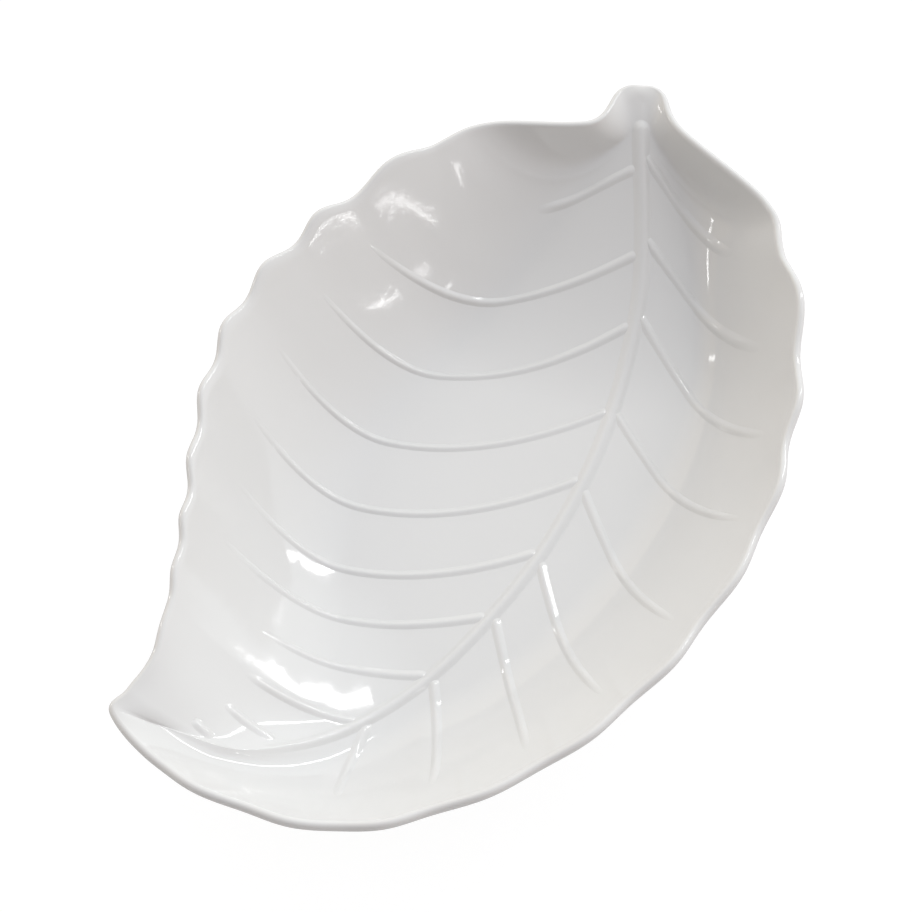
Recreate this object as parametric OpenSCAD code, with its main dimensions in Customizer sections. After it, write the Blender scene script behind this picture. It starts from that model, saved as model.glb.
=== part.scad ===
// Leaf-shaped serving dish, moulded in one piece: a deep bowl with a lobed rim, a stem at one end,
// a bent tip at the other, raised leaf veins inside and a foot ring underneath.
// X runs from the stem to the tip, +Y is the narrow side of the leaf, and Z is up from the table.

/* [Leaf] */
// Length of the whole dish, from the end of its stem to its tip
leaf_length = 316; // [270:2:370]
// Width of the whole dish, across both sides of the leaf
leaf_width = 197.5; // [175:0.5:235]
// Depth of the dish, from the hollows of its rim down to its floor
dish_depth = 44; // [30:1:54]
// Thickness of the moulding
wall = 3; // [2.2:0.2:4.2]

/* [Wall] */
// Width of the wall that slopes up to either side of the rim
side_wall = 56; // [46:1:66]
// Length of the slope that climbs to the stem
stem_slope = 120; // [90:2:130]
// Length of the slope that climbs to the tip
tip_slope = 100; // [80:2:115]
// Length of the level tab at the stem's end
stem_tab = 6; // [3:0.5:10]
// How gently the floor turns up into the wall
floor_curve = 0.7; // [0.4:0.05:1]

/* [Rim] */
// How far the lobes of the broad side stand out
broad_lobe = 2.4; // [0.6:0.2:4]
// How far the lobes of the narrow side stand out
narrow_lobe = 1.6; // [0.6:0.2:4]
// How far the first lobe of the narrow side stands out, beside the stem
shoulder_lobe = 2.8; // [0.6:0.2:5]

/* [Veins] */
// Width of a side vein where it leaves the midrib
vein_width = 3.6; // [2.4:0.2:5]
// Height of a side vein
vein_height = 1; // [0.4:0.1:1.6]
// Width of the midrib at the stem
midrib_width = 5.6; // [4:0.2:7]
// Width of the midrib at its end, near the tip
midrib_end_width = 3; // [2:0.2:4]
// Height of the midrib
midrib_height = 1.4; // [0.6:0.1:2]
// How far the long veins reach towards the rim, as a share of the way
vein_reach = 0.9; // [0.7:0.02:0.94]

/* [Foot] */
// How far the foot ring stands in from the edge of the flat base
foot_inset = 21; // [17:1:26]
// Width of the ring's own wall
foot_wall = 4; // [3:0.5:6]
// Height that the foot ring lifts the dish off the table
foot_height = 2.6; // [1.6:0.2:5]

/* [Hidden] */

dish_colour = [0.91, 0.91, 0.9];
BROAD = -1;
NARROW = 1;

// The leaf's lines are drawn at one size and stretched to the size asked for. Each list holds one point for
// each of 16 stations: the stem's end, its corner, the neck, the shoulder, eleven veins, the tip. The
// midrib's line stops short of the rim at both ends, so that the rows fan out round its ends.
midrib_points = [
    [2, 6.6], [3.4, 7.5], [6.8, 9.6], [10.5, 11.8], [14, 14], [37, 29.5], [61, 42.5], [99, 55.5],
    [131, 62.5], [163, 65.5], [191.5, 64.5], [220, 60.5], [247, 52.5], [270.8, 42.2], [286, 31.5],
    [293.5, 14]];
narrow_points = [
    [-4, 2.5], [-6, 10.6], [7.5, 26], [21, 68], [37, 82.5], [74, 108], [106, 121], [140, 129.5],
    [178, 130.5], [213, 125.5], [246, 114], [274, 96], [293, 76], [303, 50], [306, 22], [301, -0.5]];
broad_points = [
    [-4, 2.5], [2.2, -3.9], [22, -4], [42, -34], [61, -44.5], [98, -55], [127, -59.5], [156, -59],
    [182, -52], [206, -40.5], [227, -28], [244, -18.5], [261, -9.5], [279, -2], [292, -1.2], [301, -0.5]];
first_vein = 4;                 // station of the vein next to the stem
last_vein = 14;                 // station of the vein next to the tip
tip_station = 15;
broad_veins = 11;               // veins raised on the broad side
narrow_veins = 9;               // veins raised on the narrow side
broad_bow = 0.43;               // bow of the broad side's first veins towards the tip, by their length
broad_bow_end = 12;             // vein of the broad side at which the bow would be gone
broad_bow_rise = [0.8, 4.6];    // stations of the broad side between which the bow grows to its full share
narrow_bow = 0.12;              // the same share for the middle vein of the narrow side
narrow_bow_start = 3;           // vein of the narrow side after which the bow begins
narrow_bow_turn = 30;           // degrees of a sine that each vein adds to the narrow side's bow
bow_place = 0.57;               // where along its length a vein is pulled out
lobe_start = 0.65;              // share of the way to the rim at which the lobes begin
broad_fade = 9;                 // degrees of a cosine by which the lobes shrink from vein to vein
narrow_fade = 5;
flat_share = 0.12;              // least share of the way to the rim that stays level across the leaf
lift_stations = [10, 12];       // stations between which the midrib begins to rise as the leaf narrows

// The grid of the dish. Three rows lie on each vein, and each half row has a column at the midrib's edge
// and one where the long veins end.
stem_rows = 12;
gap_rows = 4;
tip_rows = 6;
columns = 14;
reach_column = 11;
under_columns = 8;
lip_steps = 3;
midrib_start = 7;               // row where the midrib begins, on the stem
midrib_stop = 3;                // rows past the last vein where the midrib ends
rib_shoulder = 0.8;             // height of a rib half-way from its edge to its crest, as a share
end_share = 0.2;                // height left at a rib's ends, as a share
vein_taper = 0.35;              // share of its width that a vein loses on its way to the rim
base_rise = 2;                  // how far the floor rises while the underside is still flat
base_station = 7;               // station where the flat base is widest
ring_steps = 72;

// ---- the leaf's curves, in plan ----

function limit(x, low = 0, high = 1) = min(max(x, low), high);
function smooth(x) = let (t = limit(x)) t * t * (3 - 2 * t);
function turned(v) = [-v.y, v.x];
function unit(v) = v / max(norm(v), 1e-6);

// Smooth curve through a list of points, at station r; before and after are the points past its ends
function along(line, r, before = undef, after = undef) =
    let (last = len(line) - 1, i = limit(floor(r), 0, last - 1), t = r - i,
         b = line[i], c = line[i + 1],
         a = i > 0 ? line[i - 1] : is_undef(before) ? 2 * b - c : before,
         d = i + 2 <= last ? line[i + 2] : is_undef(after) ? 2 * c - b : after)
    (2 * b + (c - a) * t + (2 * a - 5 * b + 4 * c - d) * t * t + (3 * b - 3 * c + d - a) * t * t * t) / 2;

// The rim is one closed curve: its two sides run smoothly into each other at the stem's end and the tip
function rim_through(line, other, r) = along(line, r, other[1], other[tip_station - 1]);
nudge = 0.01;
function outward_of(side, line, other, r) =
    let (inner = limit(r, nudge, tip_station - nudge))
    side * turned(unit(rim_through(line, other, inner + nudge) - rim_through(line, other, inner - nudge)));

// How far the rim stands out in a lobe: nothing where a vein runs out, most between two veins
function lobe_size(side, n) =
    side == BROAD ? broad_lobe * cos(broad_fade * n) :
    n == 1 ? shoulder_lobe : narrow_lobe * cos(narrow_fade * n);
function lobe(side, r) =
    let (n = floor(r) - first_vein + 1)
    r < first_vein || r > last_vein ? 0 : lobe_size(side, n) * (1 - cos(360 * r)) / 2;

function lobe_share(s) = pow(limit((s - lobe_start) / (1 - lobe_start)), 2);

// The drawn edge, lobes and all, says how far the drawn lines are stretched
function drawn_edge(side, line, other) = [for (r = [0:1 / 8:tip_station])
    rim_through(line, other, r) + outward_of(side, line, other, r) * lobe(side, r)];
drawn = concat(
    drawn_edge(NARROW, narrow_points, broad_points),
    drawn_edge(BROAD, broad_points, narrow_points));
drawn_x = [for (p = drawn) p.x];
drawn_y = [for (p = drawn) p.y];
stretch = [(leaf_length - wall) / (max(drawn_x) - min(drawn_x)),
           (leaf_width - wall) / (max(drawn_y) - min(drawn_y))];
midrib_line = [for (p = midrib_points) [p.x * stretch.x, p.y * stretch.y]];
narrow_line = [for (p = narrow_points) [p.x * stretch.x, p.y * stretch.y]];
broad_line = [for (p = broad_points) [p.x * stretch.x, p.y * stretch.y]];
stem_end = narrow_line[0];
tip_end = narrow_line[tip_station];

function rim(side, r) =
    side == NARROW ? rim_through(narrow_line, broad_line, r) : rim_through(broad_line, narrow_line, r);
function outward(side, r) =
    side == NARROW ? outward_of(side, narrow_line, broad_line, r)
                   : outward_of(side, broad_line, narrow_line, r);

// How far the vein at station r bows towards the tip, as a share of its length
function bow(side, r) =
    let (n = r - first_vein + 1,
         grown = sqrt(limit((r - broad_bow_rise[0]) / (broad_bow_rise[1] - broad_bow_rise[0]))))
    side == BROAD ? grown * broad_bow * (1 - pow(limit(n / broad_bow_end), 2))
                  : narrow_bow * sin(limit(narrow_bow_turn * (n - narrow_bow_start), 0, 180));

// Place in plan at station r, a share s of the way from the midrib to the rim
function place(side, r, s) =
    let (m = along(midrib_line, r), e = rim(side, r), chord = e - m,
         pull = m + chord * bow_place - side * turned(chord) * bow(side, r))
    (1 - s) * (1 - s) * m + 2 * s * (1 - s) * pull + s * s * e
    + outward(side, r) * lobe(side, r) * lobe_share(s);

// ---- the bowl's height ----

// Rise from the floor to the rim: 0 to 1, level at first and then a steady slope
curve_top = sqrt(1 + floor_curve * floor_curve) - floor_curve;
function rise(x) = (sqrt(x * x + floor_curve * floor_curve) - floor_curve) / curve_top;
function steepness(x) = x / sqrt(x * x + floor_curve * floor_curve) / curve_top;
rim_slope = dish_depth / side_wall * steepness(1);

function row_length(side, r) = norm(rim(side, r) - along(midrib_line, r));
function side_ramp(side, r, s) =
    let (flat = max(flat_share, 1 - side_wall / max(row_length(side, r), 1)))
    limit((s - flat) / (1 - flat));

// Share of the wall's climb that the midrib itself has where the leaf narrows to its tip
function end_lift(r) =
    limit(1 - sqrt(row_length(NARROW, r) * row_length(BROAD, r)) / side_wall)
    * smooth((r - lift_stations[0]) / (lift_stations[1] - lift_stations[0]));
function side_climb(side, r, s) =
    let (lift = end_lift(r), ramp = side_ramp(side, r, s))
    sqrt(lift * lift + ramp * ramp * (1 - lift * lift));

// Share of the climb to the stem: level on the tab, and then a steady slope
function stem_climb(p) =
    let (way = norm(p - stem_end))
    limit(1 - (sqrt(way * way + stem_tab * stem_tab) - stem_tab) / (stem_slope - stem_tab));

// Height over the floor, as a share of the depth
function height_share(side, r, s) =
    let (p = place(side, r, s))
    1 - (1 - rise(side_climb(side, r, s)))
      * (1 - rise(stem_climb(p)))
      * (1 - rise(limit(1 - norm(p - tip_end) / tip_slope)));

function lobe_height(side, r, s) = lobe(side, r) * lobe_share(s) * rim_slope;

// How much longer a plumb line through the wall is than its thickness
function lean(side, r, s) = sqrt(1 + pow(rim_slope * steepness(side_climb(side, r, s)) / steepness(1), 2));

floor_top = foot_height + wall;
function inside(side, r, s) =
    let (p = place(side, r, s))
    [p.x, p.y, floor_top + dish_depth * height_share(side, r, s) + lobe_height(side, r, s)];

// The underside stays flat while the floor rises by base_rise, and then closes up to the wall's thickness
function underside(side, r, s) =
    let (p = place(side, r, s), h = dish_depth * height_share(side, r, s),
         lifted = h > base_rise ? h - base_rise * base_rise / h : 0,
         plumb = wall * (lean(side, r, s) - 1))
    [p.x, p.y, foot_height + max(0, lifted - plumb) + lobe_height(side, r, s)];

// ---- the rows of the grid ----

function vein_width_at(s) = vein_width * (1 - vein_taper * s);

// Stations that half a vein's width spans, at share s of the way to the rim
function half_vein(side, r, s) =
    s == 0 ? vein_width * nudge / norm(along(midrib_line, r + nudge) - along(midrib_line, r - nudge)) :
    let (across = unit(place(side, r, min(s + nudge, 1)) - place(side, r, s - min(nudge, s))),
         step = place(side, r + nudge, s) - place(side, r - nudge, s))
    vein_width_at(s) * nudge / max(abs(across.x * step.y - across.y * step.x), 1e-6);

// Each row lies between two stations: [station, side of it, next station, side of it, share of the gap]
rows = concat(
    [for (n = [1:stem_rows]) [0, 0, first_vein, -1, n / (stem_rows + 1)]],
    [for (k = [first_vein:last_vein], w = [-1:gap_rows + 1])
        if (w <= 1 || k < last_vein)
            w <= 1 ? [k, w, k, w, 0] : [k, 1, k + 1, -1, (w - 1) / (gap_rows + 1)]],
    [for (n = [1:tip_rows]) [last_vein, 1, tip_station, 0, n / (tip_rows + 1)]]);
row_count = len(rows);
rows_per_vein = 3 + gap_rows;
function vein_row(n) = stem_rows + 1 + (n - 1) * rows_per_vein;

function station(side, i, s) =
    let (q = rows[i],
         a = q[0] + (q[1] == 0 ? 0 : q[1] * half_vein(side, q[0], s)),
         b = q[2] + (q[3] == 0 ? 0 : q[3] * half_vein(side, q[2], s)))
    a + (b - a) * q[4];

// Share of the way to the rim at which the midrib's edge lies
function midrib_width_at(i) =
    midrib_width + (midrib_end_width - midrib_width) * i / row_count;
function midrib_edge(side, i) =
    let (r = station(side, i, 0), m = along(midrib_line, r),
         ahead = unit(along(midrib_line, r + nudge) - along(midrib_line, r - nudge)),
         toward = (place(side, r, nudge) - m) / nudge)
    min(midrib_width_at(i) / 2 / max(abs(ahead.x * toward.y - ahead.y * toward.x), 1e-6), 0.4);

function share_at(side, i, c) =
    c == 0 ? 0 :
    let (first = midrib_edge(side, i))
    c <= reach_column ? first + (vein_reach - first) * (c - 1) / (reach_column - 1)
                      : vein_reach + (1 - vein_reach) * (c - reach_column) / (columns - reach_column);

function top_point(side, i, c) =
    let (s = share_at(side, i, c))
    inside(side, station(side, i, s), s);
function under_point(side, i, c) =
    let (s = c / under_columns)
    underside(side, station(side, i, s), s);

// Whole rows, from the narrow rim over the midrib to the broad rim
top_rows = [for (i = [0:row_count - 1]) concat(
    [for (c = [columns:-1:0]) top_point(NARROW, i, c)],
    [for (c = [1:columns]) top_point(BROAD, i, c)])];
under_rows = [for (i = [0:row_count - 1]) concat(
    [for (c = [under_columns:-1:0]) under_point(NARROW, i, c)],
    [for (c = [1:under_columns]) under_point(BROAD, i, c)])];
stem_top = inside(NARROW, 0, 1);
stem_under = underside(NARROW, 0, 1);
tip_top = inside(NARROW, tip_station, 1);
tip_under = underside(NARROW, tip_station, 1);

// The edge of the leaf, once round: along the narrow rim, over the tip, back along the broad rim
function edge_out(side, i) = outward(side, station(side, i, 1));
edge_way = concat([for (i = [0:row_count - 1]) edge_out(NARROW, i)], [outward(NARROW, tip_station)],
                  [for (i = [row_count - 1:-1:0]) edge_out(BROAD, i)], [outward(NARROW, 0)]);
edge_top = concat([for (row = top_rows) row[0]], [tip_top],
                  [for (i = [row_count - 1:-1:0]) top_rows[i][2 * columns]], [stem_top]);
edge_under = concat([for (row = under_rows) row[0]], [tip_under],
                    [for (i = [row_count - 1:-1:0]) under_rows[i][2 * under_columns]], [stem_under]);
edge_count = len(edge_way);

// The lip is rounded: half an ellipse from the top edge round to the bottom one
lip_reach = wall / 2;
function lip_point(e, n) =
    let (a = 90 - 180 * n / (lip_steps + 1), top = edge_top[e], under = edge_under[e],
         out = lip_reach * cos(a))
    [top.x + edge_way[e].x * out, top.y + edge_way[e].y * out,
     (top.z + under.z) / 2 + (top.z - under.z) / 2 * sin(a)];

lip_x = [for (e = [0:edge_count - 1]) lip_point(e, (lip_steps + 1) / 2).x];
lip_y = [for (e = [0:edge_count - 1]) lip_point(e, (lip_steps + 1) / 2).y];
leaf_centre = [(min(lip_x) + max(lip_x)) / 2, (min(lip_y) + max(lip_y)) / 2];

// ---- the flat base and the foot ring on it ----

// Share of a slope that has risen less than base_rise
base_share = sqrt(pow(base_rise / dish_depth * curve_top + floor_curve, 2) - floor_curve * floor_curve);
base_far = narrow_line[base_station].y - side_wall * (1 - base_share);
base_near = broad_line[base_station].y + side_wall * (1 - base_share);
base_y = (base_far + base_near) / 2;
stem_reach = (stem_slope - stem_tab) * (1 - base_share) + stem_tab;
base_start = stem_end.x + sqrt(pow(stem_reach, 2) - pow(stem_tab, 2) - pow(base_y - stem_end.y, 2));
base_stop = tip_end.x - sqrt(pow(tip_slope * (1 - base_share), 2) - pow(base_y - tip_end.y, 2));
foot_centre = [(base_start + base_stop) / 2, base_y];
foot_length = base_stop - base_start - 2 * foot_inset;
foot_breadth = base_far - base_near - 2 * foot_inset;

// ---- shapes ----

function flat_list(lists) = [for (l = lists, x = l) x];

// Two triangles for each square of a grid of points, wound for the side that is seen
function grid_faces(start, count, width, up) =
    [for (i = [0:count - 2], c = [0:width - 2], half = [0, 1])
        let (a = start + i * width + c, b = a + 1, d = a + width, e = d + 1)
        up ? (half == 0 ? [a, b, e] : [a, e, d]) : (half == 0 ? [a, e, b] : [a, d, e])];

module leaf_dish() {
    wide = 2 * columns + 1;
    under_wide = 2 * under_columns + 1;
    under_start = row_count * wide;
    lip_start = under_start + row_count * under_wide;
    stem_top_at = lip_start + edge_count * lip_steps;
    tip_top_at = stem_top_at + 1;
    stem_under_at = stem_top_at + 2;
    tip_under_at = stem_top_at + 3;
    last_row = (row_count - 1) * wide;
    last_under = under_start + (row_count - 1) * under_wide;
    points = concat(
        flat_list(top_rows), flat_list(under_rows),
        [for (e = [0:edge_count - 1], n = [1:lip_steps]) lip_point(e, n)],
        [stem_top, tip_top, stem_under, tip_under]);
    // Rings round the edge: the top edge, the lip's points, the bottom edge
    top_edge_at = concat([for (i = [0:row_count - 1]) i * wide], [tip_top_at],
                         [for (i = [row_count - 1:-1:0]) i * wide + wide - 1], [stem_top_at]);
    under_edge_at = concat([for (i = [0:row_count - 1]) under_start + i * under_wide], [tip_under_at],
                           [for (i = [row_count - 1:-1:0]) under_start + (i + 1) * under_wide - 1],
                           [stem_under_at]);
    lip_at = [for (n = [0:lip_steps - 1]) [for (e = [0:edge_count - 1]) lip_start + e * lip_steps + n]];
    rings = concat([top_edge_at], lip_at, [under_edge_at]);
    faces = concat(
        grid_faces(0, row_count, wide, true),
        [for (c = [0:wide - 2]) [stem_top_at, c + 1, c]],
        [for (c = [0:wide - 2]) [tip_top_at, last_row + c, last_row + c + 1]],
        grid_faces(under_start, row_count, under_wide, false),
        [for (c = [0:under_wide - 2]) [stem_under_at, under_start + c, under_start + c + 1]],
        [for (c = [0:under_wide - 2]) [tip_under_at, last_under + c + 1, last_under + c]],
        [for (n = [0:lip_steps], e = [0:edge_count - 1], half = [0, 1])
            let (f = (e + 1) % edge_count)
            half == 0 ? [rings[n][e], rings[n][f], rings[n + 1][f]]
                      : [rings[n][e], rings[n + 1][f], rings[n + 1][e]]]);
    color(dish_colour) polyhedron(points, faces, convexity = 6);
}

// A rib's cross-section over three points of the dish: five points over its top, then its foot's middle
function rib_section(left, middle, right, height) =
    [left,
     (left + middle) / 2 + [0, 0, height * rib_shoulder],
     middle + [0, 0, height],
     (middle + right) / 2 + [0, 0, height * rib_shoulder],
     right,
     middle];
function rib_height(height, i, count) = height * (i == 0 || i == count - 1 ? end_share : 1);

// Faces of a rib whose sections follow each other, its points starting at number start
function rib_faces(start, count) =
    let (last = start + 6 * (count - 1))
    concat(
        [for (i = [0:count - 2], k = [0:5], half = [0, 1])
            let (a = start + 6 * i + k, b = start + 6 * i + (k + 1) % 6, d = a + 6, e = b + 6)
            half == 0 ? [a, b, e] : [a, e, d]],
        [for (k = [0:3]) [start + 5, start + k + 1, start + k]],
        [for (k = [0:3]) [last + 5, last + k, last + k + 1]]);

module midrib() {
    stop = vein_row(broad_veins) + midrib_stop;
    count = stop - midrib_start + 1;
    points = flat_list([for (i = [0:count - 1])
        let (row = top_rows[midrib_start + i], height = rib_height(midrib_height, i, count))
        rib_section(row[columns - 1], row[columns], row[columns + 1], height)]);
    color(dish_colour) polyhedron(points, rib_faces(0, count), convexity = 6);
}

// Column where vein n ends: the first vein and those near the tip are shorter
first_vein_end = 7;
short_vein_sum = 17;
function vein_end(n) = n == 1 ? first_vein_end : min(reach_column, short_vein_sum - n);

module side_veins(side, vein_count) {
    middle = columns;
    step = side == NARROW ? -1 : 1;
    sections = [for (n = [1:vein_count]) [for (c = [1:vein_end(n)])
        let (row = vein_row(n), col = middle + step * c,
             behind = top_rows[row - 1][col], ahead = top_rows[row + 1][col])
        rib_section(side == NARROW ? ahead : behind, top_rows[row][col], side == NARROW ? behind : ahead,
                    rib_height(vein_height, c, vein_end(n) + 1))]];
    starts = [for (n = [0:vein_count - 1])
        n == 0 ? 0 : 6 * len(flat_list([for (m = [0:n - 1]) sections[m]]))];
    points = flat_list(flat_list(sections));
    faces = flat_list([for (n = [0:vein_count - 1]) rib_faces(starts[n], len(sections[n]))]);
    color(dish_colour) polyhedron(points, faces, convexity = 10);
}

module broad_side_veins() {
    side_veins(BROAD, broad_veins);
}

module narrow_side_veins() {
    side_veins(NARROW, narrow_veins);
}

module oval(length, breadth) {
    polygon([for (n = [0:ring_steps - 1])
        [length / 2 * cos(360 * n / ring_steps), breadth / 2 * sin(360 * n / ring_steps)]]);
}

module foot_ring() {
    color(dish_colour)
    translate([foot_centre.x, foot_centre.y, 0])
    linear_extrude(foot_height)
    difference() {
        oval(foot_length, foot_breadth);
        oval(foot_length - 2 * foot_wall, foot_breadth - 2 * foot_wall);
    }
}

module on_centre() {
    translate([-leaf_centre.x, -leaf_centre.y, 0]) children();
}

on_centre() leaf_dish();
on_centre() foot_ring();
on_centre() midrib();
on_centre() broad_side_veins();
on_centre() narrow_side_veins();
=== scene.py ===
import math

import bpy
import numpy as np
from mathutils import Matrix, Vector

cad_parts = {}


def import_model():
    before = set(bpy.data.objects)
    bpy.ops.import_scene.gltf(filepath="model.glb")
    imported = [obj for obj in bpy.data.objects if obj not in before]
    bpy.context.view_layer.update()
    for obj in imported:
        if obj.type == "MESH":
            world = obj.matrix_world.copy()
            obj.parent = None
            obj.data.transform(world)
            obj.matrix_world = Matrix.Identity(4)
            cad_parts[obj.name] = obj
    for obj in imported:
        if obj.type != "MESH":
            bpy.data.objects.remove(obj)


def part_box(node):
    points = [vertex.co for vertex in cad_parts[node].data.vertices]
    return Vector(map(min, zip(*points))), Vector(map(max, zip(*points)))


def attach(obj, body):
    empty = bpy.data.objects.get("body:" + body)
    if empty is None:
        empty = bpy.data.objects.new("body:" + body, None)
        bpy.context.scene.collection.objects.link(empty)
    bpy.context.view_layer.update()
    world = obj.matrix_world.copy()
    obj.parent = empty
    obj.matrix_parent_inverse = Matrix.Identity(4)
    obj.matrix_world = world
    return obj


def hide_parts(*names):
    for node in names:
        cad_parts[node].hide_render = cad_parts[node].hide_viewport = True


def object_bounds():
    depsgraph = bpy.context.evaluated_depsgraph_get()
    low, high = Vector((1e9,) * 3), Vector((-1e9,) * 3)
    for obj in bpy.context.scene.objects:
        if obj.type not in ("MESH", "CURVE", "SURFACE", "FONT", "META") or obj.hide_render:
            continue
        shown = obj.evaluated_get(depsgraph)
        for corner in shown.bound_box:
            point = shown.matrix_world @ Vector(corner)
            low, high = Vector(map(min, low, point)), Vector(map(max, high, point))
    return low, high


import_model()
cad_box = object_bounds()
bpy.ops.object.select_all(action="DESELECT")

MM = 0.001
BODY = "root"
NARROW = 1
BROAD = -1

# ---- the leaf's own lines, in plan: a point for the stem's end, its corner, the neck, the shoulder, eleven
# veins and the tip. The midrib's line stops short of the rim, so that the rows fan out round its ends ----

midrib_line = np.array([
    (2, 6.6), (3.4, 7.5), (6.8, 9.6), (10.5, 11.8), (14, 14), (37, 29.5), (61, 42.5), (99, 55.5),
    (131, 62.5), (163, 65.5), (191.5, 64.5), (220, 60.5), (247, 52.5), (270.8, 42.2), (286, 31.5),
    (294.6, 13.2)])
narrow_line = np.array([
    (-4.9, 2.1), (-6, 10.6), (7.5, 26), (21, 68), (37, 82.5), (74, 108), (106, 121), (140, 129.5),
    (178, 130.5), (213, 125.5), (246, 114), (274, 96), (293, 76), (303, 50), (306, 22), (301, -0.5)])
broad_line = np.array([
    (-4.9, 2.1), (1.3, -3.1), (22, -4), (42, -34), (61, -44.5), (98, -55), (127, -59.5), (156, -59),
    (182, -52), (206, -40.5), (227, -28), (244, -18.5), (261, -9.5), (279, -2), (292, -1.2), (301, -0.5)])
TIP = 15                    # station of the tip
FIRST_VEIN = 4              # station of the vein next to the stem
LAST_VEIN = 14              # station of the vein next to the tip

# ---- the moulding's sizes ----

wall = 3.0
foot_height = 2.6
floor_top = foot_height + wall
edge_inset = 1.2            # how far inside the rim's drawn line the lip's rounding starts
depth = 42.6                # from there down to the floor
side_wall = 55.0            # width of the wall that slopes up to either side
stem_slope = 120.0          # length of the slope that climbs to the stem
stem_tab = 6.0              # length of the level tab at the stem's end
tip_slope = 100.0           # length of the slope that climbs to the tip
floor_curve = 0.7           # how gently the floor turns up into the wall
flat_share = 0.12           # least share of the way to the rim that stays level across the leaf
base_rise = 2.0             # how far the floor rises while the underside is still flat
lift_start = 10             # station past which the midrib itself climbs with the wall
lift_run = 2                # stations over which that climb sets in

broad_lobe = 2.4
broad_lobe_turn = 9         # degrees of a cosine by which the lobes shrink from one vein to the next
narrow_lobe = 1.6
narrow_lobe_turn = 5
shoulder_lobe = 2.8         # the one between the stem's shoulder and the next vein, on the narrow side
lobe_start = 0.65           # share of the way to the rim at which the lobes begin

bow_place = 0.57            # share of the way to the rim at which a row is pulled towards the tip
broad_bow = 0.43            # how far it is pulled on the broad side, as a share of its length
broad_bow_start = 0.8       # station where the broad side's rows begin to bow
broad_bow_run = 3.8         # stations over which their bow grows
broad_bow_veins = 12        # number of the vein by which it has gone again
narrow_bow = 0.12
narrow_bow_start = 3        # number of the vein where the narrow side's rows begin to bow
narrow_bow_veins = 6        # number of veins over which their bow comes and goes

midrib_half = 3.8           # half the midrib's width at the stem, with its fillets
midrib_end_half = 2.3
midrib_height = 1.1
midrib_ends = (1.5, 13.9)   # stations where the midrib starts and ends
midrib_fade = 40.0          # length over which it fades out towards the tip
vein_half = 2.3             # half a side vein's width at the midrib, with its fillets
vein_taper = 0.3            # share of that width that a vein would have lost at the rim
vein_height = 0.65
vein_fade = 0.28            # share of a vein over which it fades out towards the rim

# Each vein's course: how far it lies towards the tip of its own station's line, in stations, at the
# midrib, halfway and at the rim; then the shares of the way to the rim where it starts and ends
broad_vein_courses = (
    (0.28, -0.50, 0.72, 0, 0.52), (0.27, -0.47, 0.34, 0, 0.95), (0.14, -0.07, 0.13, 0, 0.96),
    (0, 0, 0, 0, 0.96), (-0.07, 0.13, -0.02, 0, 0.97), (-0.04, 0.13, 0, 0, 0.92),
    (0.03, -0.10, 0.17, 0, 0.92), (0.05, -0.11, 0.31, 0, 0.66), (0.08, 0.11, 0.11, 0, 0.57),
    (0.04, 0.01, -0.69, 0.08, 0.50), (-0.15, 0.08, -1.47, 0.19, 0.47))
narrow_vein_courses = (
    (0.05, 0, 0.12, 0, 0.72), (0.05, -0.34, 0, 0, 0.86), (0.03, -0.06, -0.07, 0, 0.93),
    (0, -0.11, -0.09, 0, 0.94), (0.05, -0.13, 0.12, 0, 0.92), (0.06, -0.12, 0.12, 0, 0.90),
    (0, -0.42, 0.09, 0, 0.90), (0.05, -0.33, 0.14, 0, 0.80), (-0.05, 0.41, -0.06, 0, 0.62))


def limit(x, low=0.0, high=1.0):
    return np.minimum(np.maximum(x, low), high)


def unit(v):
    """The same direction, one long."""
    return v / np.maximum(np.linalg.norm(v, axis=-1, keepdims=True), 1e-9)


def turned(v):
    """The direction in plan, a quarter turn to the left."""
    return np.stack([-v[..., 1], v[..., 0]], -1)


def smooth(x):
    """From 0 to 1 with a soft start and a soft end."""
    x = limit(x)
    return x * x * (3 - 2 * x)


def along(line, r, before=None, after=None):
    """Smooth curve through a list of points, at station r; before and after lie past its two ends."""
    r = limit(np.asarray(r, float), 0, TIP)
    i = np.minimum(r.astype(int), TIP - 1)
    t = (r - i)[..., None]
    b, c = line[i], line[i + 1]
    before = 2 * line[0] - line[1] if before is None else before
    after = 2 * line[TIP] - line[TIP - 1] if after is None else after
    a = np.where((i == 0)[..., None], before, line[np.maximum(i - 1, 0)])
    d = np.where((i == TIP - 1)[..., None], after, line[np.minimum(i + 2, TIP)])
    cubic = (3 * b - 3 * c + d - a) * t ** 3
    return (2 * b + (c - a) * t + (2 * a - 5 * b + 4 * c - d) * t * t + cubic) / 2


def rim(side, r):
    """The rim's line in plan: its two sides run smoothly into each other at the stem's end and the tip."""
    line, other = (narrow_line, broad_line) if side == NARROW else (broad_line, narrow_line)
    return along(line, r, other[1], other[TIP - 1])


def outward(side, r):
    """Direction away from the leaf at the rim, in plan."""
    nudge = 0.01
    inner = limit(r, nudge, TIP - nudge)
    way = side * turned(unit(rim(side, inner + nudge) - rim(side, inner - nudge)))
    stem_way = turned(unit(narrow_line[1] - broad_line[1]))
    tip_way = -turned(unit(narrow_line[TIP - 1] - broad_line[TIP - 1]))
    way = np.where((r <= 0)[..., None], stem_way, way)
    return np.where((r >= TIP)[..., None], tip_way, way)


def lobe(side, r):
    """How far the rim stands out at station r: nothing where a vein runs out, most between two veins."""
    n = np.floor(r) - FIRST_VEIN + 1
    if side == BROAD:
        size = broad_lobe * np.cos(np.radians(broad_lobe_turn * n))
    else:
        size = np.where(n == 1, shoulder_lobe, narrow_lobe * np.cos(np.radians(narrow_lobe_turn * n)))
    inside = (r >= FIRST_VEIN) & (r <= LAST_VEIN)
    return np.where(inside, size * (1 - np.cos(2 * np.pi * r)) / 2, 0)


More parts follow.
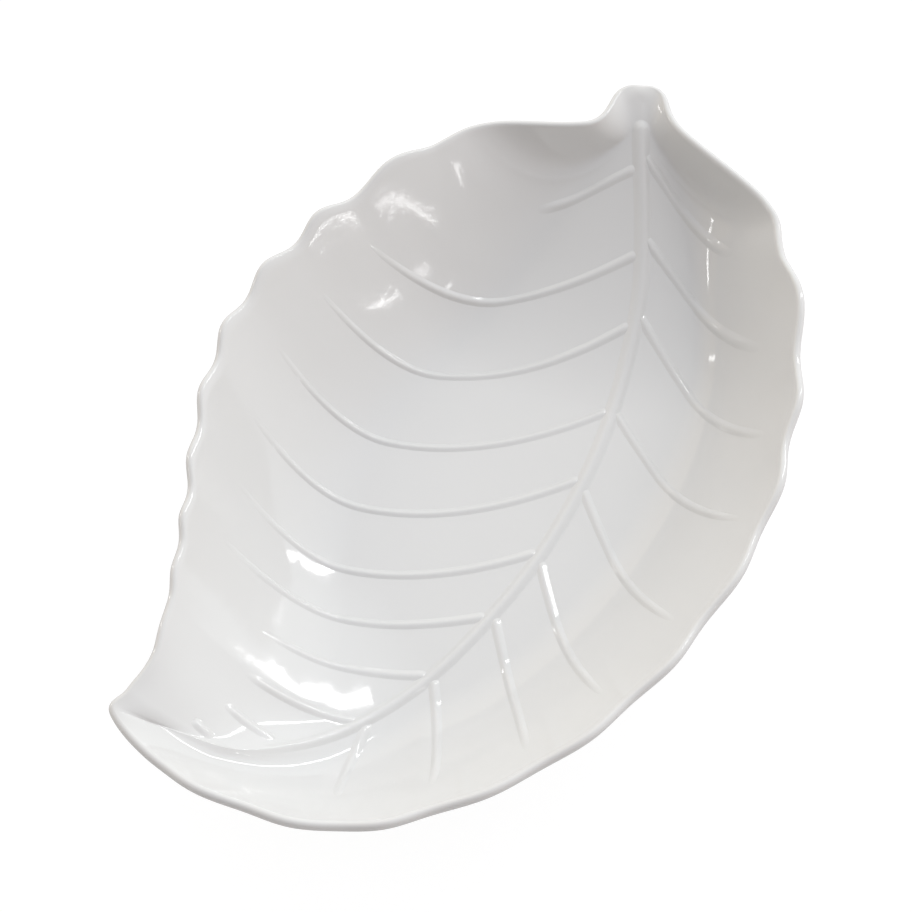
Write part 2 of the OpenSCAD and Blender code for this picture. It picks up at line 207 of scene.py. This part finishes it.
def bow(side, r):
    """How far the row of station r is pulled towards the tip, as a share of its length."""
    n = r - FIRST_VEIN + 1
    if side == BROAD:
        grown = np.sqrt(limit((r - broad_bow_start) / broad_bow_run))
        return grown * broad_bow * (1 - limit(n / broad_bow_veins) ** 2)
    half_wave = limit(180 / narrow_bow_veins * (n - narrow_bow_start), 0, 180)
    return narrow_bow * np.sin(np.radians(half_wave))


def row_ends(side, r):
    """A row's two ends in plan: on the midrib, and where the lip's rounding starts."""
    return along(midrib_line, r), rim(side, r) - edge_inset * outward(side, r)


def end_lift(r):
    """Share of the wall's climb that the midrib itself has towards the tip, where the leaf narrows."""
    past = limit(r - LAST_VEIN)
    r = np.minimum(r, LAST_VEIN) + past - past ** 2 / 2
    spans = [np.linalg.norm(rim(side, r) - along(midrib_line, r), axis=-1) for side in (NARROW, BROAD)]
    climb = limit(1 - np.sqrt(spans[0] * spans[1]) / side_wall)
    return climb * smooth((r - lift_start) / lift_run)


curve_end = math.hypot(1, floor_curve)
rim_slope = depth / side_wall / curve_end / (curve_end - floor_curve)   # how steeply the wall meets the rim


def rise(x):
    """Share of the depth climbed at a share x of the slope: gently off the floor, then ever steeper."""
    return (np.hypot(x, floor_curve) - floor_curve) / (curve_end - floor_curve)


def skin(side, r, s):
    """Point on the inside of the dish, at station r and a share s of the way from the midrib to the rim."""
    r, s = np.broadcast_arrays(np.asarray(r, float), np.asarray(s, float))
    middle, edge = row_ends(side, r)
    chord = edge - middle
    pull = middle + chord * bow_place - side * turned(chord) * bow(side, r)[..., None]
    t = s[..., None]
    stand_out = lobe(side, r) * limit((s - lobe_start) / (1 - lobe_start)) ** 2
    plan = (1 - t) ** 2 * middle + 2 * t * (1 - t) * pull + t * t * edge
    plan = plan + outward(side, r) * stand_out[..., None]
    length = np.maximum(np.linalg.norm(chord, axis=-1), 1)
    flat = np.maximum(flat_share, 1 - side_wall / length)
    lift = end_lift(r)
    ramp = limit((s - flat) / (1 - flat))
    side_rise = rise(np.hypot(lift, ramp * np.sqrt(1 - lift ** 2)))
    stem_way = np.linalg.norm(plan - narrow_line[0], axis=-1)
    stem_rise = rise(limit(1 - (np.hypot(stem_way, stem_tab) - stem_tab) / (stem_slope - stem_tab)))
    tip_rise = rise(limit(1 - np.linalg.norm(plan - narrow_line[TIP], axis=-1) / tip_slope))
    share = 1 - (1 - side_rise) * (1 - stem_rise) * (1 - tip_rise)
    height = floor_top + depth * share + stand_out * rim_slope
    return np.concatenate([plan, height[..., None]], -1)


def skin_normal(side, r, s):
    """Direction out of the skin, into the bowl."""
    step = 0.004
    end_margin = 0.03
    r = limit(r, end_margin, TIP - end_margin)
    along_rim = skin(side, r + step, s) - skin(side, r - step, s)
    inner = limit(s, step, 1) - step
    to_rim = skin(side, r, inner + 2 * step) - skin(side, r, inner)
    normal = unit(side * np.cross(along_rim, to_rim))
    return np.where(normal[..., 2:] < 0, -normal, normal)


def rim_way(side, r):
    """Direction in which the wall would run on past the rim."""
    normal = skin_normal(side, r, np.ones_like(r))
    out = np.concatenate([outward(side, r), np.zeros(r.shape + (1,))], -1)
    return unit(out - normal * (out * normal).sum(-1, keepdims=True))


def drawn_edge():
    """The leaf's outer edge in plan, once along either side."""
    r = np.linspace(0, TIP, 601)
    return np.concatenate([
        rim(side, r) + outward(side, r) * (lobe(side, r) + wall / 2)[:, None] for side in (NARROW, BROAD)])


# The drawn leaf is stretched to the model's box, whose middle is the part's origin
model_size = np.array(cad_box[1] - cad_box[0]) / MM
drawn_size = drawn_edge().max(0) - drawn_edge().min(0)
stretch = (model_size[:2] - wall) / (drawn_size - wall)
midrib_line, narrow_line, broad_line = midrib_line * stretch, narrow_line * stretch, broad_line * stretch
leaf_centre = (drawn_edge().min(0) + drawn_edge().max(0)) / 2


def placed(points):
    """From the leaf's drawing, in millimetres, to the part's frame, in metres."""
    return (np.asarray(points) - np.array([leaf_centre[0], leaf_centre[1], 0])) * MM


# ---- modelling helpers ----

weld = 2e-7                 # points nearer to each other than this, in metres, become one


def grid_piece(name, points):
    """A grid primitive, its vertices placed one by one: points is rows x columns x 3."""
    rows, columns = points.shape[:2]
    bpy.ops.mesh.primitive_grid_add(x_subdivisions=columns - 1, y_subdivisions=rows - 1, size=1)
    piece = bpy.context.object
    piece.name = piece.data.name = name
    piece.data.vertices.foreach_set("co", placed(points).astype(np.float32).ravel())
    piece.data.update()
    return piece


def close_up(piece, distance):
    """Merges the points that lie on each other and turns every face outwards."""
    bpy.ops.object.select_all(action="DESELECT")
    piece.select_set(True)
    bpy.context.view_layer.objects.active = piece
    bpy.ops.object.mode_set(mode="EDIT")
    bpy.ops.mesh.select_all(action="SELECT")
    bpy.ops.mesh.remove_doubles(threshold=distance)
    bpy.ops.mesh.dissolve_degenerate(threshold=distance)
    bpy.ops.mesh.normals_make_consistent(inside=False)
    bpy.ops.object.mode_set(mode="OBJECT")
    bpy.ops.object.shade_smooth()


def thicken(piece, thickness):
    """Gives an open skin its thickness, away from the bowl."""
    bpy.context.view_layer.objects.active = piece
    solidify = piece.modifiers.new("thickness", "SOLIDIFY")
    solidify.thickness = thickness
    solidify.offset = -1
    bpy.ops.object.modifier_apply(modifier=solidify.name)


def joined(pieces, name):
    """Several meshes made into one piece."""
    bpy.ops.object.select_all(action="DESELECT")
    for piece in pieces:
        piece.select_set(True)
    bpy.context.view_layer.objects.active = pieces[0]
    bpy.ops.object.join()
    pieces[0].name = pieces[0].data.name = name
    return pieces[0]


def select_faces(piece, wanted):
    """Selects the faces that answer to wanted, in edit mode."""
    bpy.ops.mesh.select_all(action="DESELECT")
    bpy.ops.object.mode_set(mode="OBJECT")
    for face in piece.data.polygons:
        face.select = wanted(face)
    bpy.ops.object.mode_set(mode="EDIT")


def finish_piece(piece, material, node):
    """Paints a piece, and enters it as what stands for one node of the model."""
    piece.data.materials.clear()
    piece.data.materials.append(material)
    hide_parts(node)
    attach(piece, BODY)


# ---- the bowl ----

STEM_ROWS = 16              # rows to a station at the stem
LEAF_ROWS = 22              # rows to a station between the first vein and the last
TIP_ROWS = 32               # rows to the last station
TOP_COLUMNS = 64
UNDER_COLUMNS = 30
LIP_STEPS = 8


def bowl_rows():
    """The stations of the bowl's rows."""
    stem = np.arange(0, FIRST_VEIN * STEM_ROWS) / STEM_ROWS
    leaf = FIRST_VEIN + np.arange(0, (LAST_VEIN - FIRST_VEIN) * LEAF_ROWS) / LEAF_ROWS
    tip = LAST_VEIN + np.arange(0, TIP_ROWS + 1) / TIP_ROWS
    return np.concatenate([stem, leaf, tip])


def under_skin(side, r, s):
    """Point on the underside: the wall's thickness below the skin, and flat where the dish stands."""
    top = skin(side, r, s)
    climb = top[..., 2] - floor_top
    lifted = np.where(climb > base_rise, climb - base_rise ** 2 / np.maximum(climb, base_rise), 0)
    under = top - wall * skin_normal(side, r, s)
    under[..., 2] -= climb - lifted
    under[..., 2] = np.maximum(under[..., 2], foot_height)
    return under


def lip(side, r):
    """Points of the rounded lip, from the skin's edge round to the underside's."""
    edge_point = skin(side, r, np.ones_like(r))
    normal = skin_normal(side, r, np.ones_like(r))
    way = rim_way(side, r)
    middle = edge_point - normal * wall / 2
    turns = np.pi / 2 - np.pi * np.arange(1, LIP_STEPS) / LIP_STEPS
    return np.stack([middle + wall / 2 * (np.cos(a) * way + np.sin(a) * normal) for a in turns], 1)


def bowl():
    """The dish itself: the inside from rim to rim, a lip, the underside and the other lip, closed up."""
    r = bowl_rows()
    top_s = np.linspace(0, 1, TOP_COLUMNS + 1)
    under_s = np.linspace(0, 1, UNDER_COLUMNS + 1)
    rows = r[:, None]
    strips = [
        skin(NARROW, rows, top_s[::-1]), skin(BROAD, rows, top_s[1:]),
        lip(BROAD, r),
        under_skin(BROAD, rows, under_s[::-1]), under_skin(NARROW, rows, under_s[1:]),
        lip(NARROW, r)[:, ::-1]]
    points = np.concatenate(strips + [strips[0][:, :1]], 1)
    piece = grid_piece("dish_bowl", points)
    close_up(piece, weld)
    return piece


# ---- the raised midrib and veins ----

RIB_ACROSS = 15             # points across a vein
vein_row = 0.9              # distance between a side vein's rows
midrib_row = 0.55           # distance between the midrib's rows
rib_sink = 0.05             # how far a rib's edges lie in the skin
rib_thickness = 1.0         # of the rib's own solid, let into the wall
rib_lead = 1.0              # length of a rib's sunk start, before its crest begins to rise


def seek(side, r, s, goal):
    """Station and share of the skin's points that lie over goal in plan, searched from r and s."""
    nudge = 0.01
    longest_r, longest_s = 0.2, 0.08
    for _ in range(10):
        miss = goal - skin(side, r, s)[..., :2]
        by_r = (skin(side, r + nudge, s) - skin(side, r - nudge, s))[..., :2] / (2 * nudge)
        by_s = (skin(side, r, s + nudge) - skin(side, r, s - nudge))[..., :2] / (2 * nudge)
        area = by_r[..., 0] * by_s[..., 1] - by_r[..., 1] * by_s[..., 0]
        step_r = (miss[..., 0] * by_s[..., 1] - miss[..., 1] * by_s[..., 0]) / area
        step_s = (by_r[..., 0] * miss[..., 1] - by_r[..., 1] * miss[..., 0]) / area
        r = r + limit(step_r, -longest_r, longest_r)
        s = s + limit(step_s, -longest_s, longest_s)
    return r, s


def rib_strip(side, course, across, half, crest):
    """Points of a rib that follows a course in plan: across and half give its width, crest its height."""
    r, s, middle = course
    ahead = unit(np.gradient(middle, axis=0))
    goal = middle[:, None] - side * turned(ahead)[:, None] * (half[:, None] * across)[..., None]
    r, s = seek(side, r[:, None] + 0 * across, s[:, None] + 0 * across, goal)
    height = crest - rib_sink
    return skin(side, r, s) + skin_normal(side, r, s) * height[..., None]


def crest_over(across, way, half):
    """Share of a rib's height: a round crest that runs out in fillets to both sides and round its start."""
    start = limit(1 - way / half)[:, None]
    return (1 - limit(np.hypot(across, start)) ** 2) ** 2


def side_vein(side, number, at_midrib, halfway, at_rim, begin, end):
    """One vein, which fades out on its way to the rim."""
    station = FIRST_VEIN + number - 1
    length = float(np.linalg.norm(np.diff(np.stack(row_ends(side, np.array(station))), axis=0)))
    s = np.linspace(begin, end, int(length * (end - begin) / vein_row))
    r = station + (1 - s) ** 2 * at_midrib + 2 * s * (1 - s) * halfway + s * s * at_rim
    middle = skin(side, r, s)[:, :2]
    across = side * np.linspace(-1, 1, RIB_ACROSS)
    half = vein_half * (1 - vein_taper * s)
    fade = smooth((end - s) / (vein_fade * (end - begin)))
    crest = vein_height * fade[:, None] * crest_over(across, (s - begin) * length - rib_lead, half)
    points = rib_strip(side, (r, s, middle), across, half, crest)
    return grid_piece(f"vein_{side}_{number}", points)


def midrib():
    """The main vein, in even rows along its line; each half lies on its own side of the leaf."""
    fine = np.linspace(*midrib_ends, 4000)
    run = np.cumsum(np.linalg.norm(np.diff(along(midrib_line, fine), axis=0), axis=1))
    way = np.linspace(0, run[-1], int(run[-1] / midrib_row))
    r = np.interp(way, run, fine[1:])
    first_share = 0.02      # where the search for the skin's points starts
    middle = along(midrib_line, r)
    share = way / way[-1]
    half = midrib_half + (midrib_end_half - midrib_half) * share
    fade = smooth((way[-1] - way) / midrib_fade)
    across = np.linspace(-1, 1, 2 * RIB_ACROSS - 1)
    strips = []
    for side, part in ((NARROW, -across[across < 0]), (BROAD, across[across >= 0])):
        crest = midrib_height * fade[:, None] * crest_over(part, way - rib_lead, half)
        strips.append(rib_strip(side, (r, first_share + 0 * r, middle), -part, half, crest))
    return grid_piece("midrib_ridge", np.concatenate(strips, 1))


def finish_rib(piece, material, node):
    """Turns a rib's skin into a solid let into the wall, and finishes it."""
    thicken(piece, rib_thickness * MM)
    close_up(piece, weld)
    finish_piece(piece, material, node)


# ---- the foot ----

FOOT_SIDES = 144
FOOT_ROUNDING_STEPS = 5
ring_wall = 4.0             # width of the ring's own wall
ring_sunk = 1.0             # how far the ring is let into the floor above it
ring_rounding = 1.2
ring_weld = 1e-6


def foot():
    """The oval ring under the floor, its edges rounded."""
    low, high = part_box("foot_ring")
    size = high - low
    bpy.ops.mesh.primitive_cylinder_add(vertices=FOOT_SIDES, radius=0.5, depth=1)
    piece = bpy.context.object
    piece.name = piece.data.name = "foot"
    height = size.z + ring_sunk * MM
    bpy.ops.object.mode_set(mode="EDIT")
    bpy.ops.mesh.select_all(action="SELECT")
    bpy.ops.transform.resize(value=(size.x, size.y, height))
    bpy.ops.transform.translate(value=((low.x + high.x) / 2, (low.y + high.y) / 2, height / 2))
    bpy.ops.mesh.select_mode(type="FACE")
    select_faces(piece, lambda face: abs(face.normal.z) > 0.9)
    bpy.ops.mesh.inset(thickness=ring_wall * MM)
    bpy.ops.mesh.bridge_edge_loops()
    bpy.ops.object.mode_set(mode="OBJECT")
    bevel = piece.modifiers.new("rounding", "BEVEL")
    bevel.width = ring_rounding * MM
    bevel.segments = FOOT_ROUNDING_STEPS
    bevel.limit_method = "ANGLE"
    bpy.ops.object.modifier_apply(modifier=bevel.name)
    close_up(piece, ring_weld)
    return piece


# ---- the finish ----

darker_white = (0.80, 0.80, 0.785, 1)
lighter_white = (0.84, 0.84, 0.83, 1)
best_polish, worst_polish = 0.045, 0.08     # roughness
cloud_scale = 14            # of the soft clouds in tint and polish
grain_scale = 260           # of the moulded skin's fine grain
grain_strength, grain_height = 0.04, 0.0006


def noise(nodes, links, place, scale, detail):
    """A cloudy pattern that is fixed to the piece."""
    node = nodes.new("ShaderNodeTexNoise")
    node.inputs["Scale"].default_value = scale
    node.inputs["Detail"].default_value = detail
    links.new(place.outputs["Object"], node.inputs["Vector"])
    return node.outputs["Fac"]


def melamine():
    """White melamine, polished in the mould: glossy, with a faint unevenness."""
    material = bpy.data.materials.new("white_melamine")
    material.use_nodes = True
    nodes, links = material.node_tree.nodes, material.node_tree.links
    shader = nodes["Principled BSDF"]
    shader.inputs["IOR"].default_value = 1.55
    shader.inputs["Coat Weight"].default_value = 0.25
    shader.inputs["Coat Roughness"].default_value = 0.05
    place = nodes.new("ShaderNodeTexCoord")

    clouds = noise(nodes, links, place, cloud_scale, 3)
    tint = nodes.new("ShaderNodeValToRGB")
    tint.color_ramp.elements[0].color = darker_white
    tint.color_ramp.elements[1].color = lighter_white
    links.new(clouds, tint.inputs["Fac"])
    links.new(tint.outputs["Color"], shader.inputs["Base Color"])

    polish = nodes.new("ShaderNodeMapRange")
    polish.inputs["To Min"].default_value = best_polish
    polish.inputs["To Max"].default_value = worst_polish
    links.new(clouds, polish.inputs["Value"])
    links.new(polish.outputs["Result"], shader.inputs["Roughness"])

    relief = nodes.new("ShaderNodeBump")
    relief.inputs["Strength"].default_value = grain_strength
    relief.inputs["Distance"].default_value = grain_height
    links.new(noise(nodes, links, place, grain_scale, 2), relief.inputs["Height"])
    links.new(relief.outputs["Normal"], shader.inputs["Normal"])
    return material


# ---- the studio ----

floor_size = 8.0
floor_glow = 1.1            # white, where the camera sees the floor
floor_glow_share = 0.85     # the rest of what the camera sees is the lit floor, with the dish's shadow

# The light from each side of the room: its azimuth round from +X, its elevation and its colour
room_light = (
    (0, 90, (0.335, 0.381, 0.474)), (90, 20, (0.677, 0.588, 0.521)),
    (180, 20, (1.169, 1.221, 1.234)), (270, 20, (0.957, 0.846, 0.701)))
room_softness = 2           # power of the cosine by which each light falls off

lamp_distance = 1.6
# Each lamp: the spot of the dish that mirrors it to the camera; its azimuth, elevation, width and height
# as seen from there, in degrees; its strength; and its turn about its own middle
lamps = (
    ("low_window", (0.105, -0.010, 0.022), 161.4, 13, 1.8, 10, 11, 0),
    ("tall_tube", (0.094, 0.007, 0.010), 170.5, 34, 3, 35, 11, -26),
    ("side_tube", (-0.047, -0.068, 0.027), 100.5, 31.0, 3, 0.25, 18, -25),
    ("side_tube_end", (-0.047, -0.068, 0.027), 109.8, 28.3, 3, 0.25, 18, -16),
    ("side_spot", (-0.085, -0.066, 0.037), 95.7, 37.7, 1.2, 1.2, 7, 0),
    ("near_spot", (-0.113, 0.022, 0.020), -60.5, 28, 3.4, 3, 9, 0),
    ("near_tube", (-0.088, 0.039, 0.011), -85, 20, 1.6, 26, 7, 0))


def direction(azimuth, elevation):
    """Direction towards an azimuth, round from +X, and an elevation, both in degrees."""
    a, e = math.radians(azimuth), math.radians(elevation)
    return Vector((math.cos(e) * math.cos(a), math.cos(e) * math.sin(a), math.sin(e)))


def computed(tree, kind, operation, *values):
    """A math node, each of whose values is another node's output or a constant."""
    node = tree.nodes.new(kind)
    node.operation = operation
    for socket, value in zip(node.inputs, values):
        if isinstance(value, bpy.types.NodeSocket):
            tree.links.new(value, socket)
        else:
            socket.default_value = value
    return node


def show_camera(tree, share, usual, seen, end):
    """Mixes the shader seen into the usual one, by a share that only the camera's own rays have."""
    blend = tree.nodes.new("ShaderNodeMixShader")
    tree.links.new(share, blend.inputs["Fac"])
    tree.links.new(usual, blend.inputs[1])
    tree.links.new(seen, blend.inputs[2])
    tree.links.new(blend.outputs["Shader"], tree.nodes[end].inputs["Surface"])


def floor():
    """A pale floor, nearly white to the camera, that keeps the dish's shadow."""
    bpy.ops.mesh.primitive_plane_add(size=floor_size)
    piece = bpy.context.object
    piece.name = "floor"
    material = bpy.data.materials.new("pale_floor")
    material.use_nodes = True
    tree = material.node_tree
    paint = tree.nodes["Principled BSDF"]
    paint.inputs["Base Color"].default_value = (0.8, 0.8, 0.8, 1)
    paint.inputs["Roughness"].default_value = 0.9
    glow = tree.nodes.new("ShaderNodeEmission")
    glow.inputs["Strength"].default_value = floor_glow
    rays = tree.nodes.new("ShaderNodeLightPath")
    share = computed(tree, "ShaderNodeMath", "MULTIPLY", rays.outputs["Is Camera Ray"], floor_glow_share)
    show_camera(
        tree, share.outputs["Value"], paint.outputs["BSDF"], glow.outputs["Emission"], "Material Output")
    piece.data.materials.append(material)


def world():
    """A soft room, brightest beyond the stem, and plain white where the camera sees it."""
    sky = bpy.data.worlds.new("studio")
    bpy.context.scene.world = sky
    sky.use_nodes = True
    tree = sky.node_tree
    place = tree.nodes.new("ShaderNodeTexCoord").outputs["Generated"]
    total = (0, 0, 0)
    for azimuth, elevation, colour in room_light:
        facing = computed(
            tree, "ShaderNodeVectorMath", "DOT_PRODUCT", place, direction(azimuth, elevation))
        near = computed(tree, "ShaderNodeMath", "MAXIMUM", facing.outputs["Value"], 0)
        soft = computed(tree, "ShaderNodeMath", "POWER", near.outputs["Value"], room_softness)
        light = computed(
            tree, "ShaderNodeVectorMath", "MULTIPLY_ADD", soft.outputs["Value"], colour, total)
        total = light.outputs["Vector"]
    room = tree.nodes["Background"]
    tree.links.new(total, room.inputs["Color"])
    plain = tree.nodes.new("ShaderNodeBackground")
    plain.inputs["Color"].default_value = (1, 1, 1, 1)
    rays = tree.nodes.new("ShaderNodeLightPath")
    show_camera(
        tree, rays.outputs["Is Camera Ray"], room.outputs["Background"], plain.outputs["Background"],
        "World Output")


def lamp(name, spot, azimuth, elevation, width, height, strength, turn):
    """A soft panel that faces a spot of the dish; width and height are the degrees it spans from there."""
    data = bpy.data.lights.new(name, "AREA")
    data.shape = "RECTANGLE"
    data.size = 2 * lamp_distance * math.tan(math.radians(width / 2))
    data.size_y = 2 * lamp_distance * math.tan(math.radians(height / 2))
    data.energy = strength * math.pi * data.size * data.size_y
    piece = bpy.data.objects.new(name, data)
    bpy.context.collection.objects.link(piece)
    out = direction(azimuth, elevation)
    piece.location = Vector(spot) + out * lamp_distance
    facing = out.to_track_quat("Z", "Y").to_matrix().to_4x4()
    piece.rotation_euler = (facing @ Matrix.Rotation(math.radians(turn), 4, "Z")).to_euler()


def camera():
    """The photo's view: from above the tip end's narrow side."""
    pitch = math.radians(57)
    heading = math.radians(123.4)
    distance = 0.650
    aim = Vector((-0.0035, -0.0152, 0.0056))
    back = Vector((
        math.cos(pitch) * math.sin(heading), -math.cos(pitch) * math.cos(heading), math.sin(pitch)))
    data = bpy.data.cameras.new("view")
    data.sensor_width = 36
    data.lens = 73.67
    data.clip_start = 0.01
    piece = bpy.data.objects.new("view", data)
    bpy.context.collection.objects.link(piece)
    piece.location = aim + back * distance
    piece.rotation_euler = (-back).to_track_quat("-Z", "Y").to_euler()
    bpy.context.scene.camera = piece


# ---- the dish in its studio ----

camera()
white = melamine()
finish_piece(bowl(), white, "leaf_dish")
finish_rib(midrib(), white, "midrib")
for veins_side, courses, veins_name in (
        (BROAD, broad_vein_courses, "broad"), (NARROW, narrow_vein_courses, "narrow")):
    veins = [side_vein(veins_side, number, *course) for number, course in enumerate(courses, 1)]
    finish_rib(joined(veins, veins_name + "_veins"), white, veins_name + "_side_veins")
finish_piece(foot(), white, "foot_ring")

floor()
world()
for settings in lamps:
    lamp(*settings)
bpy.context.scene.view_settings.view_transform = "Standard"
